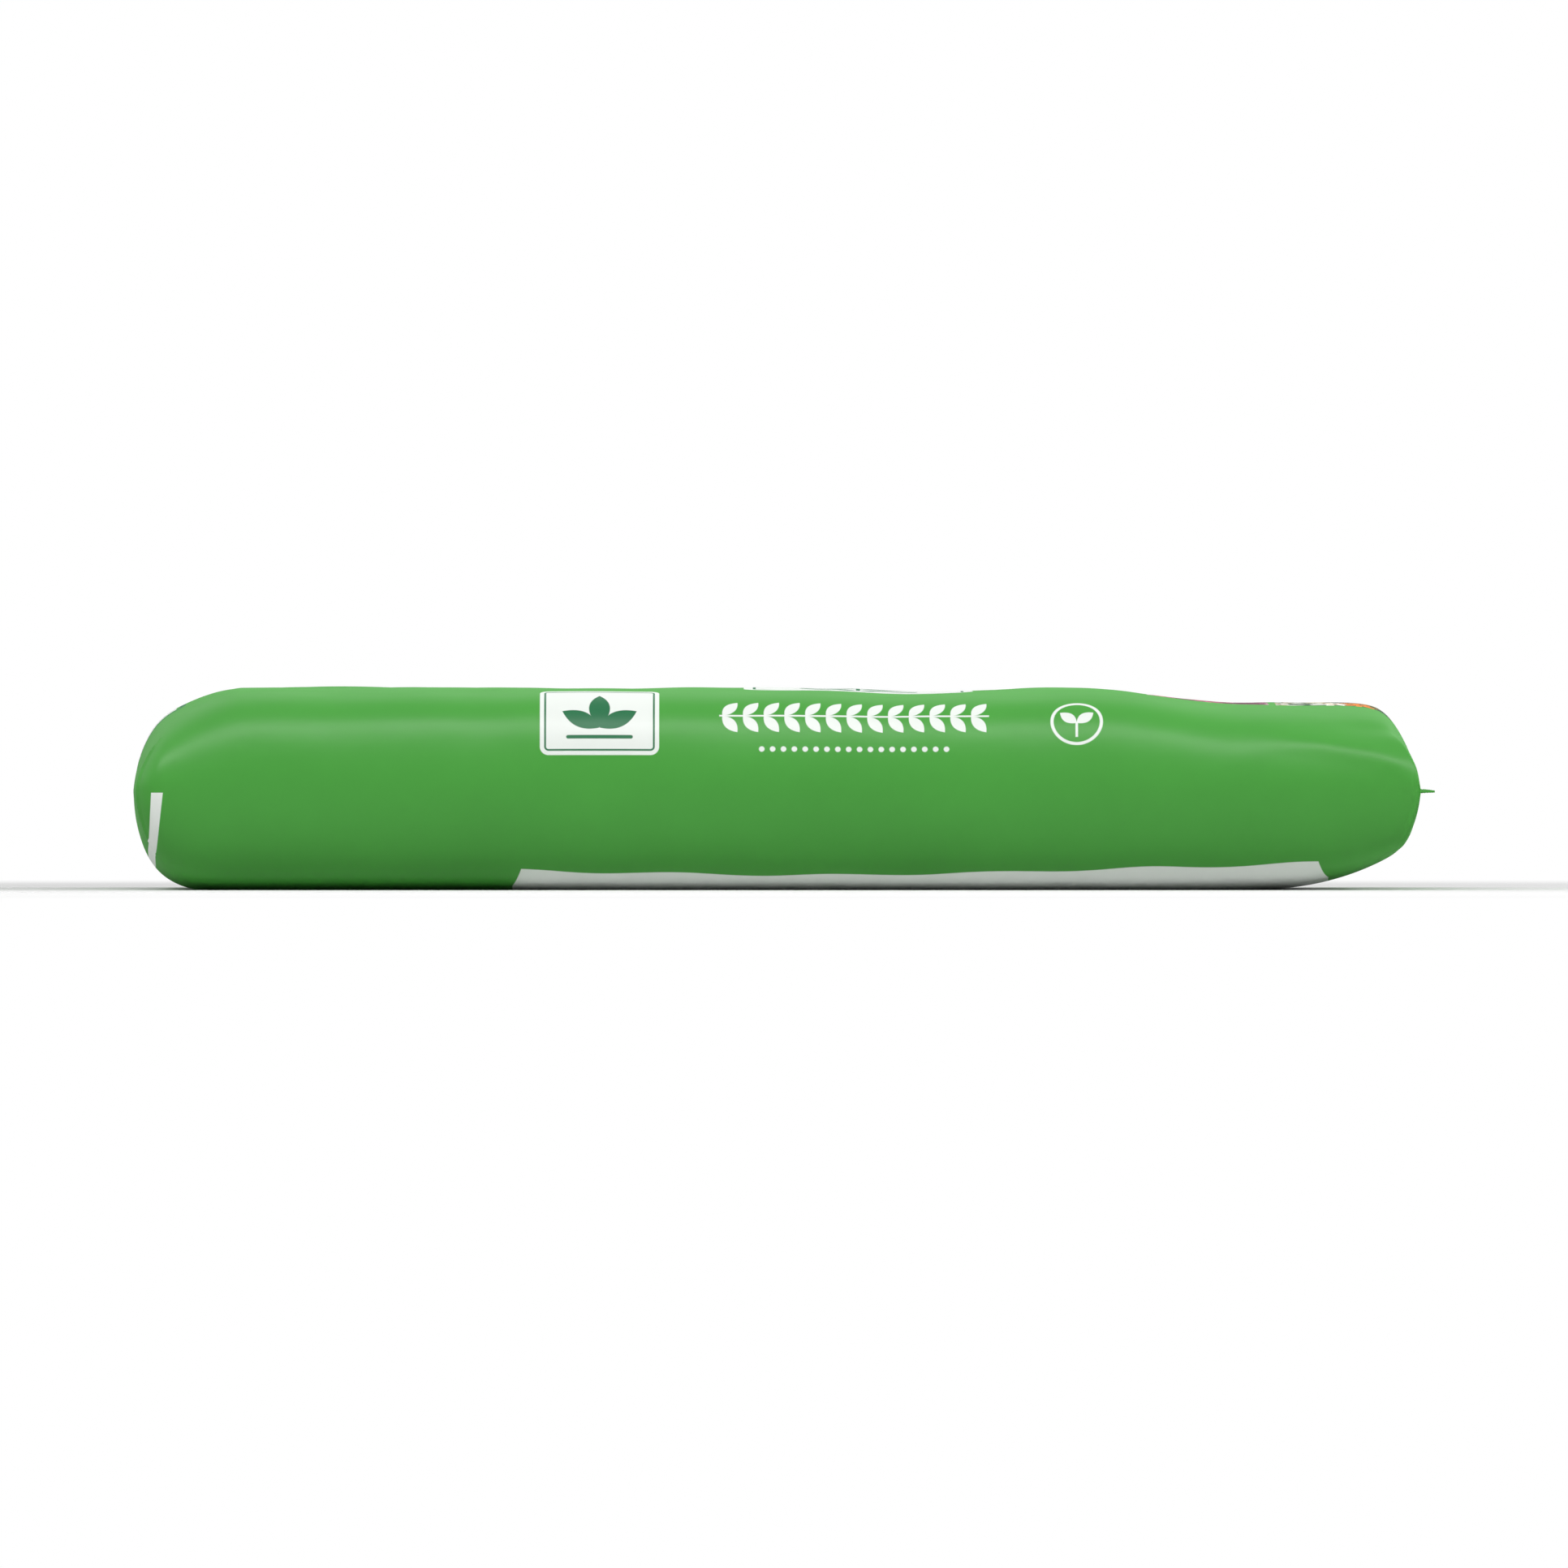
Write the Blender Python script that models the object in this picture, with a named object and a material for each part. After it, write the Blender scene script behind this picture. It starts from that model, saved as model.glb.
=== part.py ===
"""A filled compost bag lying flat: a tube of printed film, rounded over at one end and welded
straight across at the other, pressed to a low pillow by the weight of what is in it.

The bag is one piece. It is lofted from stations along its length: each station gives a row of
points on the upper film and one on the lower film, which meet at the bag's widest line. Metres,
X along the bag to its weld, Y across it, Z up, origin under the middle of the bag.
"""

import math

import bmesh
import bpy
import numpy as np

# The filled bag, and the flat weld that closes it.
FILLED_LENGTH = 0.734
FILLED_WIDTH = 0.413
FILLED_HEIGHT = 0.116
WELD_HEIGHT = 0.056
WELD_LENGTH = 0.008
WELD_THICKNESS = 0.0012

# The cross-section: the squareness of a superellipse, whose high values keep the top level
# almost to the sides. The ends hold less, so there the upper film is rounder.
SQUARENESS = 14.7
WELD_SQUARENESS = 6.8
WELD_SQUARENESS_REACH = 0.130
NOSE_SQUARENESS = 8.0
NOSE_SQUARENESS_REACH = 0.040

# The rounded end: how far back its curve reaches, above and below, and how blunt it is.
NOSE_TOP_DEPTH = 0.070
NOSE_TOP_BLUNTNESS = 2.6
NOSE_FOOT_DEPTH = 0.068
NOSE_FOOT_BLUNTNESS = 4.2
NOSE_CORNER = 0.017

# The welded end: an upper and a lower panel, each with a steep part at the weld and then a slope,
# cut across the tube with a fold that is crisp at the weld's ends and dies out further in.
PANEL_TOP_STEEP = 0.023
PANEL_TOP_STEEP_REACH = 0.005
PANEL_TOP_SLOPE = 1.30
PANEL_FOOT_STEEP = 0.0303
PANEL_FOOT_STEEP_REACH = 0.0052
PANEL_FOOT_SLOPE = 0.45
FOLD_CRISPNESS = 8.0

# The sides draw in a little behind the weld, so that its ends stand out as two small ears.
WAIST_DEPTH = 0.003
WAIST_FROM_WELD = 0.030

# The upper film is lower near the weld, where less is in the bag, and dips once further back.
CROWN_DROP = 0.0085
CROWN_DROP_START = 0.195
CROWN_DROP_END = 0.100
CROWN_DIP = 0.0024
CROWN_DIP_FROM_WELD = 0.285
CROWN_DIP_REACH = 0.045
# The weight inside would push the lower film this far through the ground, so it is pressed flat.
FOOT_PRESS = 0.0015

# Film lies unevenly over what is in the bag. Each swell is a height, the wavelengths along and
# across, and the phases along and across.
SWELLS = (
    (0.0005, 0.290, 0.520, 0.7, 1.1),
    (0.0004, 0.171, 0.233, 2.1, 4.0),
    (0.0003, 0.097, 0.149, 5.2, 0.4),
)

# Creases pressed into the upper panel of the welded end. Each is a depth, a half-width, and the
# points it runs through, as (across the bag, above the weld).
CREASES = (
    (0.0022, 0.0090, ((-0.181, 0.034), (-0.172, 0.003))),
    (0.0032, 0.0100, ((-0.092, 0.028), (-0.068, 0.016), (-0.046, 0.002))),
    (0.0036, 0.0110, ((0.066, 0.033), (0.086, 0.018), (0.108, 0.010), (0.148, 0.010), (0.184, 0.022))),
)

# Facets. This share of a row's columns follows the turning of the film, the rest its length.
NOSE_STATIONS = 14
BODY_STATIONS = 16
WELD_STATIONS = 16
COLUMNS = 68
TURNING_SHARE = 0.30

TOTAL_LENGTH = FILLED_LENGTH + WELD_LENGTH
NOSE_X = -TOTAL_LENGTH / 2
WELD_X = NOSE_X + FILLED_LENGTH
WELD_TIP_X = WELD_X + WELD_LENGTH
HALF_WIDTH = FILLED_WIDTH / 2
HALF_WELD = WELD_THICKNESS / 2
# Columns are laid out by the shape this far in from each end, because an end has no height.
LAYOUT_INSET = 0.0008

FILM_GREEN = (0.075, 0.314, 0.056, 1.0)
FILM_ROUGHNESS = 0.35


def smooth_step(t):
    t = np.clip(t, 0.0, 1.0)
    return t * t * (3.0 - 2.0 * t)


def half_width_at(x):
    """Half the bag's width at its widest line: round corners at the nose, a waist at the weld."""
    into_corner = np.clip(1.0 - (x - NOSE_X) / NOSE_CORNER, 0.0, 1.0)
    corner = NOSE_CORNER * (1.0 - np.sqrt(1.0 - into_corner**2))
    from_weld = np.clip((WELD_X - x) / WAIST_FROM_WELD, 0.0, None)
    return HALF_WIDTH - corner - WAIST_DEPTH * from_weld * np.exp(1.0 - from_weld)


def crown_at(x):
    """Height of the upper film over the weld's level, along the middle of the bag."""
    from_weld = WELD_X - x
    drop = CROWN_DROP * smooth_step((CROWN_DROP_START - from_weld) / (CROWN_DROP_START - CROWN_DROP_END))
    dip = CROWN_DIP * np.exp(-(((from_weld - CROWN_DIP_FROM_WELD) / CROWN_DIP_REACH) ** 2))
    return FILLED_HEIGHT - WELD_HEIGHT - HALF_WELD - drop - dip


def squareness_at(x):
    """Squareness of the upper film's cross-section, which falls off towards both ends."""
    at_weld = (SQUARENESS - WELD_SQUARENESS) * np.exp(-(WELD_X - x) / WELD_SQUARENESS_REACH)
    at_nose = (SQUARENESS - NOSE_SQUARENESS) * np.exp(-(x - NOSE_X) / NOSE_SQUARENESS_REACH)
    return SQUARENESS - at_weld - at_nose


def tube(height, squareness, across):
    """A superellipse: height * sqrt(1 - |across| ** squareness), across being -1 to 1."""
    return height * np.sqrt(1.0 - np.abs(across) ** squareness)


def nose_profile(from_nose, depth, bluntness):
    """Share of the full height at a distance from the rounded end: a blunt half-round."""
    left = np.clip(1.0 - from_nose / depth, 0.0, 1.0)
    return np.sqrt(1.0 - left**bluntness)


def panel(from_weld, steep, steep_reach, slope):
    """Height of a panel of the welded end: an exponential rise at the weld, then a slope."""
    return steep * (1.0 - np.exp(-from_weld / steep_reach)) + slope * from_weld


def folded(first, second):
    """The lower of two heights, rounded where they cross: a power mean of their reciprocals."""
    least = np.minimum(first, second)
    most = np.maximum(np.maximum(first, second), 1e-9)
    return least / (1.0 + (least / most) ** FOLD_CRISPNESS) ** (1.0 / FOLD_CRISPNESS)


def upper_rise(x, across):
    """Height of the upper film over the weld's level at a share of the half-width across."""
    height = crown_at(x) * nose_profile(x - NOSE_X, NOSE_TOP_DEPTH, NOSE_TOP_BLUNTNESS)
    end = panel(max(WELD_X - x, 0.0), PANEL_TOP_STEEP, PANEL_TOP_STEEP_REACH, PANEL_TOP_SLOPE)
    return folded(tube(height, squareness_at(x), across), end)


def lower_depth(x, across):
    """Depth of the lower film under the weld's level, down to the ground."""
    ground = WELD_HEIGHT - HALF_WELD
    height = (ground + FOOT_PRESS) * nose_profile(x - NOSE_X, NOSE_FOOT_DEPTH, NOSE_FOOT_BLUNTNESS)
    end = panel(max(WELD_X - x, 0.0), PANEL_FOOT_STEEP, PANEL_FOOT_STEEP_REACH, PANEL_FOOT_SLOPE)
    return np.minimum(folded(tube(height, SQUARENESS, across), end), ground)


def row_across(x, height_at):
    """Where a row's columns lie across the bag, from -1 to 1. They are even steps of a measure
    that mixes the length of the cross-section with how far it has turned."""
    inner = min(max(x, NOSE_X + LAYOUT_INSET), WELD_X - LAYOUT_INSET)
    from_edge = np.linspace(0.0, 1.0, 240) ** 3
    across = np.concatenate([from_edge - 1.0, 1.0 - from_edge[-2::-1]])
    run = np.diff(across) * half_width_at(inner)
    rise = np.diff(height_at(inner, across))
    length = np.cumsum(np.hypot(run, rise))
    heading = np.arctan2(rise, run)
    turned = np.cumsum(np.abs(np.diff(heading, prepend=heading[0])))
    measure = TURNING_SHARE * turned / turned[-1] + (1.0 - TURNING_SHARE) * length / length[-1]
    measure = np.concatenate([[0.0], measure])
    return np.interp(np.linspace(0.0, 1.0, COLUMNS + 1), measure, across)


def stations():
    """Places along X, close together where the ends curve."""
    nose = NOSE_X + NOSE_TOP_DEPTH * (1.0 - np.cos(np.linspace(0.0, math.pi / 2, NOSE_STATIONS + 1)))
    weld = WELD_X - CROWN_DROP_END * np.linspace(1.0, 0.0, WELD_STATIONS + 1) ** 2
    body = np.linspace(nose[-1], weld[0], BODY_STATIONS + 1)
    return np.concatenate([nose, body[1:-1], weld, [WELD_TIP_X]])


def film_grid(height_at, level, direction):
    """One film as a grid of points, rows along X and columns across Y."""
    rows = []
    for x in stations():
        across = row_across(x, height_at)
        z = level + direction * height_at(x, across)
        rows.append(np.stack([np.full(len(z), x), across * half_width_at(x), z], axis=1))
    return np.array(rows)


def distance_to_line(across, up, line):
    """Distance of each point from a line through the given points."""
    nearest = np.full(across.shape, np.inf)
    for (y0, z0), (y1, z1) in zip(line[:-1], line[1:]):
        along = ((across - y0) * (y1 - y0) + (up - z0) * (z1 - z0)) / ((y1 - y0) ** 2 + (z1 - z0) ** 2)
        along = np.clip(along, 0.0, 1.0)
        away = np.hypot(across - y0 - along * (y1 - y0), up - z0 - along * (z1 - z0))
        nearest = np.minimum(nearest, away)
    return nearest


def normals_of(grid):
    """Unit normals of a grid of points, on the side of rows crossed with columns."""
    normals = np.cross(np.gradient(grid, axis=0), np.gradient(grid, axis=1))
    return normals / np.maximum(np.linalg.norm(normals, axis=2, keepdims=True), 1e-12)


def swell_at(grid):
    """Height of the uneven filling at each point, never above the plain shape."""
    x, y = grid[..., 0], grid[..., 1]
    total = np.zeros(x.shape)
    for height, long_wave, cross_wave, long_phase, cross_phase in SWELLS:
        wave = np.sin(2 * math.pi * x / long_wave + long_phase)
        total += height * (wave * np.sin(2 * math.pi * y / cross_wave + cross_phase) - 1.0)
    return total


def crease_at(grid):
    """Depth of the creases in the upper panel of the welded end at each point."""
    over_weld = grid[..., 2] - WELD_HEIGHT
    on_panel = smooth_step(2.0 - (WELD_X - grid[..., 0]) / WAIST_FROM_WELD)
    total = np.zeros(over_weld.shape)
    for depth, half_width, line in CREASES:
        away = distance_to_line(grid[..., 1], over_weld, line)
        total += depth * np.exp(-((away / half_width) ** 2)) * smooth_step(over_weld / half_width)
    return total * on_panel


def uneven(upper):
    """The upper film with its swells and creases. It stays as it is along its edges."""
    loose = smooth_step((upper[..., 2] - WELD_HEIGHT) / (FILLED_HEIGHT - WELD_HEIGHT) * 1.5)
    moved = swell_at(upper) * loose - crease_at(upper)
    return upper + normals_of(upper) * moved[..., None]


def add_grid(mesh, grid):
    """The grid's points as vertices, row by row."""
    return [[mesh.verts.new(point) for point in row] for row in grid]


def add_edge_strip(mesh, upper, lower):
    """The narrow strip that joins the two films round their edges."""
    rows, columns = len(upper), len(upper[0])
    loop = [(0, c) for c in range(columns)]
    loop += [(r, columns - 1) for r in range(1, rows)]
    loop += [(rows - 1, c) for c in range(columns - 2, -1, -1)]
    loop += [(r, 0) for r in range(rows - 2, 0, -1)]
    for (r0, c0), (r1, c1) in zip(loop, loop[1:] + loop[:1]):
        mesh.faces.new((upper[r0][c0], upper[r1][c1], lower[r1][c1], lower[r0][c0]))


def level_foot(mesh):
    """Joins the facets that lie on the ground into one level face."""
    on_ground = {f for f in mesh.faces if all(v.co.z == 0.0 for v in f.verts)}
    inner = [e for e in mesh.edges if e.link_faces and all(f in on_ground for f in e.link_faces)]
    bmesh.ops.dissolve_edges(mesh, edges=inner, use_verts=True)


def filled_bag_mesh():
    upper_grid = uneven(film_grid(upper_rise, WELD_HEIGHT + HALF_WELD, 1.0))
    lower_grid = film_grid(lower_depth, WELD_HEIGHT - HALF_WELD, -1.0)
    mesh = bmesh.new()
    upper, lower = add_grid(mesh, upper_grid), add_grid(mesh, lower_grid)
    for r in range(len(upper) - 1):
        for c in range(COLUMNS):
            mesh.faces.new((upper[r][c], upper[r + 1][c], upper[r + 1][c + 1], upper[r][c + 1]))
            mesh.faces.new((lower[r][c], lower[r][c + 1], lower[r + 1][c + 1], lower[r + 1][c]))
    add_edge_strip(mesh, upper, lower)
    level_foot(mesh)
    bmesh.ops.recalc_face_normals(mesh, faces=mesh.faces)
    data = bpy.data.meshes.new("filled_bag")
    mesh.to_mesh(data)
    mesh.free()
    return data


def film_material():
    """Printed polythene film: leaf green with a soft gloss."""
    material = bpy.data.materials.new("printed_film")
    material.use_nodes = True
    shader = material.node_tree.nodes["Principled BSDF"]
    shader.inputs["Base Color"].default_value = FILM_GREEN
    shader.inputs["Roughness"].default_value = FILM_ROUGHNESS
    return material


def main():
    for old in list(bpy.data.objects):
        bpy.data.objects.remove(old)
    data = filled_bag_mesh()
    data.shade_smooth()
    data.set_sharp_from_angle(angle=math.radians(40))
    data.materials.append(film_material())
    bag = bpy.data.objects.new("filled_bag", data)
    bpy.context.scene.collection.objects.link(bag)


main()
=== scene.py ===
"""A filled compost bag, dressed around its solid: printed film drawn over the compost, with its
weld, gathers, creases and printed fields, on a pale floor under soft studio light."""

import math

import bpy
import numpy as np
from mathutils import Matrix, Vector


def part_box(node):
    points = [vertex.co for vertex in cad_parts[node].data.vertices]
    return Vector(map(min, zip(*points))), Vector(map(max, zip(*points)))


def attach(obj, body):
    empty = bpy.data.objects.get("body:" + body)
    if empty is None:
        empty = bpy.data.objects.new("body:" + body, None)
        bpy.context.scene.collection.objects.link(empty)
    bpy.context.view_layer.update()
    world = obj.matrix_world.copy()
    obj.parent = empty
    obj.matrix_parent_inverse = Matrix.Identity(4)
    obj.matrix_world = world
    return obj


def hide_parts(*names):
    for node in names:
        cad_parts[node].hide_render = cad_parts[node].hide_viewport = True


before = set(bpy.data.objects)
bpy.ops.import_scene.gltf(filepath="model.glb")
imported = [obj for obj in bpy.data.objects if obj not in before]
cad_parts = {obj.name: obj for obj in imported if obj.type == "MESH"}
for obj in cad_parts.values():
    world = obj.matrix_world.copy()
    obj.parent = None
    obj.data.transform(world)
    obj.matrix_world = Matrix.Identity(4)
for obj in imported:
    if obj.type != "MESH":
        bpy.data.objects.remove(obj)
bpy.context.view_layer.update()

# The camera stands as the photograph's does: level with the bag, square to its long side, and so
# far off that it shows no perspective.
ELEVATION = math.radians(0.1)
CAMERA_DISTANCE = 30.0
VIEW_WIDTH = 0.90
SENSOR_WIDTH_MM = 36.0
LOOK_AT = (0.0, 0.0, 0.060)

camera_data = bpy.data.cameras.new("camera")
camera_data.sensor_width = SENSOR_WIDTH_MM
camera_data.lens = SENSOR_WIDTH_MM * CAMERA_DISTANCE / VIEW_WIDTH
camera_data.clip_end = 100.0
camera = bpy.data.objects.new("camera", camera_data)
camera.location = (
    LOOK_AT[0],
    LOOK_AT[1] - CAMERA_DISTANCE * math.cos(ELEVATION),
    LOOK_AT[2] + CAMERA_DISTANCE * math.sin(ELEVATION),
)
camera.rotation_euler = (math.pi / 2 - ELEVATION, 0.0, 0.0)
bpy.context.scene.collection.objects.link(camera)
bpy.context.scene.camera = camera

# The bag is one tube of polythene film, filled, rounded over at the nose and welded straight
# across at the other end. The compost draws the film tight on top and presses it flat below.
low, high = np.array(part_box("filled_bag"))
WELD_LENGTH = 0.008
WELD_HEIGHT = 0.056
HALF_WELD = 0.0006
FILLED_HEIGHT = 0.116
NOSE_X, WELD_TIP_X = low[0], high[0]
WELD_X = WELD_TIP_X - WELD_LENGTH
HALF_WIDTH = (high[1] - low[1]) / 2
CROWN = FILLED_HEIGHT - WELD_HEIGHT - HALF_WELD
GROUND = WELD_HEIGHT - HALF_WELD

# Half-width: round corners at the nose, and a waist that leaves two ears on the weld.
NOSE_CORNER = 0.017
WAIST_DEPTH = 0.003
WAIST_FROM_WELD = 0.030
# Squareness of the cross-section. It falls off towards the weld in both films, and towards the
# nose in the upper one.
SQUARENESS = 14.7
WELD_SQUARENESS = 6.8
WELD_SQUARENESS_REACH = 0.130
LOWER_SQUARENESS = 4.5
LOWER_SQUARENESS_REACH = 0.055
NOSE_SQUARENESS = 8.0
NOSE_SQUARENESS_REACH = 0.040
# The crown steps down on the way to the weld, and dips once further back.
STEP_DEPTH, STEP_FROM_WELD, STEP_LENGTH = 0.0085, 0.195, 0.095
DIP_DEPTH, DIP_FROM_WELD, DIP_HALF_LENGTH = 0.0024, 0.285, 0.045
# The nose's curves, each a depth and a bluntness. Above, a shoulder climbs on to the crown, and
# below, the curve goes on a little past the ground, which presses it flat.
NOSE_TOP = (0.032, 4.2)
NOSE_FOOT = (0.068, 4.2)
SHOULDER_FALL = 0.42
SHOULDER_REACH = 0.060
SHOULDER_CURVE = 1.5
FOOT_PRESS = 0.0015
# The end panels: the height of the steep start at the weld, its reach, and the slope after it.
UPPER_PANEL = (0.023, 0.005, 1.30)
LOWER_PANEL = (0.0303, 0.0052, 0.45)
# Rows and columns of the two films.
NOSE_ROWS, BODY_ROWS, END_ROWS, WELD_ROWS = 62, 114, 72, 16
NOSE_ROWS_REACH = 0.070
END_ROWS_REACH = 0.100
COLUMNS = 176
TURNING_SHARE = 0.30
ROW_INSET = 0.0006
DENSE_COLUMNS = 400


def smooth_step(t):
    """0 to 1 along an S-curve: t * t * (3 - 2 * t), with t held between 0 and 1."""
    t = np.clip(t, 0.0, 1.0)
    return t * t * (3.0 - 2.0 * t)


def half_width_at(x):
    """Half the widest width at x: a quarter-round corner at the nose, and a waist by the weld that
    goes as t * exp(1 - t)."""
    into_corner = np.clip(1.0 - (x - NOSE_X) / NOSE_CORNER, 0.0, 1.0)
    corner = NOSE_CORNER * (1.0 - np.sqrt(1.0 - into_corner**2))
    from_weld = np.clip((WELD_X - x) / WAIST_FROM_WELD, 0.0, None)
    return HALF_WIDTH - corner - WAIST_DEPTH * from_weld * np.exp(1.0 - from_weld)


def tube(height, squareness, across):
    """A superellipse: height * sqrt(1 - |across| ** squareness), across being -1 to 1."""
    return height * np.sqrt(1.0 - np.abs(across) ** squareness)


def nose_profile(from_nose, depth, bluntness):
    """Share of the full height, growing from the nose: sqrt(1 - (1 - distance) ** bluntness), the
    distance being a share of the depth."""
    left = np.clip(1.0 - from_nose / depth, 0.0, 1.0)
    return np.sqrt(1.0 - left**bluntness)


def panel(from_weld, steep, steep_reach, slope):
    """Height of a panel of the welded end: an exponential rise at the weld, then a slope."""
    from_weld = np.clip(from_weld, 0.0, None)
    return steep * (1.0 - np.exp(-from_weld / steep_reach)) + slope * from_weld


def folded(first, second, crispness=8.0):
    """The lower of two heights, rounded where they cross: a power mean of their reciprocals."""
    least = np.minimum(first, second)
    most = np.maximum(np.maximum(first, second), 1e-9)
    return least / (1.0 + (least / most) ** crispness) ** (1.0 / crispness)


def upper_rise(x, across):
    """Height of the upper film over the weld's level: the tube, folded at the end panel. Its
    crown is lowered by an S-shaped step, a bell-shaped dip and the shoulder of the nose."""
    from_weld = WELD_X - x
    from_nose = x - NOSE_X
    step = STEP_DEPTH * smooth_step((STEP_FROM_WELD - from_weld) / STEP_LENGTH)
    dip = DIP_DEPTH * np.exp(-(((from_weld - DIP_FROM_WELD) / DIP_HALF_LENGTH) ** 2))
    at_weld = (SQUARENESS - WELD_SQUARENESS) * np.exp(-from_weld / WELD_SQUARENESS_REACH)
    at_nose = (SQUARENESS - NOSE_SQUARENESS) * np.exp(-from_nose / NOSE_SQUARENESS_REACH)
    before_crown = np.clip(1.0 - from_nose / SHOULDER_REACH, 0.0, 1.0)
    shoulder = 1.0 - SHOULDER_FALL * before_crown**SHOULDER_CURVE
    height = (CROWN - step - dip) * shoulder * nose_profile(from_nose, *NOSE_TOP)
    body = tube(height, SQUARENESS - at_weld - at_nose, across)
    return folded(body, panel(from_weld, *UPPER_PANEL))


def lower_depth(x, across):
    """Depth of the lower film under the weld's level: the tube, folded at the end panel, and no
    lower than the ground."""
    from_weld = WELD_X - x
    height = (GROUND + FOOT_PRESS) * nose_profile(x - NOSE_X, *NOSE_FOOT)
    at_weld = (SQUARENESS - LOWER_SQUARENESS) * np.exp(-from_weld / LOWER_SQUARENESS_REACH)
    body = tube(height, SQUARENESS - at_weld, across)
    return np.minimum(folded(body, panel(from_weld, *LOWER_PANEL)), GROUND)


def film_rows():
    """Places along X: a cosine at the nose, even steps along the body, a square at the weld."""
    turn = np.linspace(0.0, math.pi / 2, NOSE_ROWS + 1)
    nose = NOSE_X + NOSE_ROWS_REACH * (1.0 - np.cos(turn))
    end = WELD_X - END_ROWS_REACH * np.linspace(1.0, 0.0, END_ROWS + 1) ** 2
    body = np.linspace(nose[-1], end[0], BODY_ROWS + 1)
    weld = np.linspace(WELD_X, WELD_TIP_X, WELD_ROWS + 1)
    return np.concatenate([nose, body[1:-1], end, weld[1:]])


def film_grid(height_at, level, direction):
    """One film as points on a grid, and its flat-film coordinates: the length of the film from
    the body's middle over either end, and its place across as a share of half the girth, -1 to 1.
    Columns are even steps of a measure that mixes the length of a cross-section with how far it
    has turned."""
    x = film_rows()
    inner = np.clip(x, NOSE_X + ROW_INSET, WELD_X - ROW_INSET)[:, None]
    from_edge = np.linspace(0.0, 1.0, DENSE_COLUMNS) ** 3
    dense = np.concatenate([from_edge - 1.0, 1.0 - from_edge[-2::-1]])[None, :]
    run = np.diff(dense) * half_width_at(inner)
    rise = np.diff(height_at(inner, dense), axis=1)
    length = np.cumsum(np.hypot(run, rise), axis=1)
    heading = np.arctan2(rise, run)
    turned = np.cumsum(np.abs(np.diff(heading, axis=1, prepend=heading[:, :1])), axis=1)
    length /= length[:, -1:]
    turned /= turned[:, -1:]
    measure = np.pad(TURNING_SHARE * turned + (1.0 - TURNING_SHARE) * length, ((0, 0), (1, 0)))
    length = np.pad(length, ((0, 0), (1, 0)))
    even = np.linspace(0.0, 1.0, COLUMNS + 1)
    across = np.array([np.interp(even, row, dense[0]) for row in measure])
    share = np.array([np.interp(even, row, known) for row, known in zip(measure, length)])
    z = level + direction * height_at(x[:, None], across)
    y = across * half_width_at(x)[:, None]
    grid = np.stack([np.broadcast_to(x[:, None], y.shape), y, z], axis=2)
    middle = height_at(x[:, None], np.zeros((1, 1)))[:, 0]
    along = np.append(0.0, np.cumsum(np.hypot(np.diff(x), np.diff(middle))))
    along -= np.interp(0.0, x, along)
    return grid, along, 2.0 * share - 1.0


# What moves the film off that plain shape: long swells of the filling, small lumps in it, three
# creases pressed into the upper end panel, gathers that run out from the weld, its wavy lip and
# crimped ribs, and a fold that stands up a little at each corner of the nose.
# Each swell is a height, its lengths along and across the bag, and its phases in both directions.
SWELLS = (
    (0.0005, 0.290, 0.520, 0.7, 1.1),
    (0.0004, 0.171, 0.233, 2.1, 4.0),
    (0.0003, 0.097, 0.149, 5.2, 0.4),
)
# Each crease is a depth, a half-width, and the points it runs through, as (across the bag, above
# the weld).
CREASES = (
    (0.0022, 0.0090, ((-0.181, 0.034), (-0.172, 0.003))),
    (0.0032, 0.0100, ((-0.092, 0.028), (-0.068, 0.016), (-0.046, 0.002))),
    (
        0.0036,
        0.0110,
        ((0.066, 0.033), (0.086, 0.018), (0.108, 0.010), (0.148, 0.010), (0.184, 0.022)),
    ),
)
LUMP_HEIGHT = 0.00014
LUMP_SIZES = (0.030, 0.090)
LUMPS_FROM_WELD = 0.03
GATHER_HEIGHT = 0.00045
GATHER_SIZES = (0.011, 0.034)
GATHER_REACH = 0.020
LIP_WAVE = 0.0003
LIP_WAVE_SIZES = (0.045, 0.140)
LIP_WAVE_REACH = 0.006
RIB_HEIGHT = 0.00012
RIB_PITCH = 0.0016
# Ridges of folded film on the long sides, by both ears. Each is a height, a half-width, and the
# points it runs through, as (behind the weld, above the weld).
UPPER_RIDGE = (
    (0.0, 0.0), (0.006, 0.009), (0.011, 0.0155),
    (0.026, 0.022), (0.057, 0.028), (0.100, 0.031),
)
LOWER_RIDGE = (
    (0.001, -0.003), (0.0035, -0.0116), (0.0055, -0.0175),
    (0.0075, -0.0236), (0.0107, -0.030), (0.0145, -0.036),
)
RIDGES = ((0.0013, 0.0070, UPPER_RIDGE), (0.0011, 0.0014, LOWER_RIDGE))
RIDGE_REACH = 0.105
SIDE_DEPTH, SIDE_FADE = 0.030, 0.020
EAR_OUT = 0.0026
EAR_REACH = 0.007
EAR_START, EAR_FADE = 0.90, 0.09
NOSE_FOLD_HEIGHT = 0.0011
NOSE_FOLD_TURN = math.radians(31)
NOSE_FOLD_HALF_TURN = math.radians(3.5)
NOSE_FOLD_UNDER_WELD = 0.008
NOSE_FOLD_HALF_LENGTH = 0.042
# Nothing moves on the weld itself but the ribs and the lip, and nothing under the bag.
WELD_FADE = 0.004
RIB_FADE = 0.001
GROUND_FADE = 0.012


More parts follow.
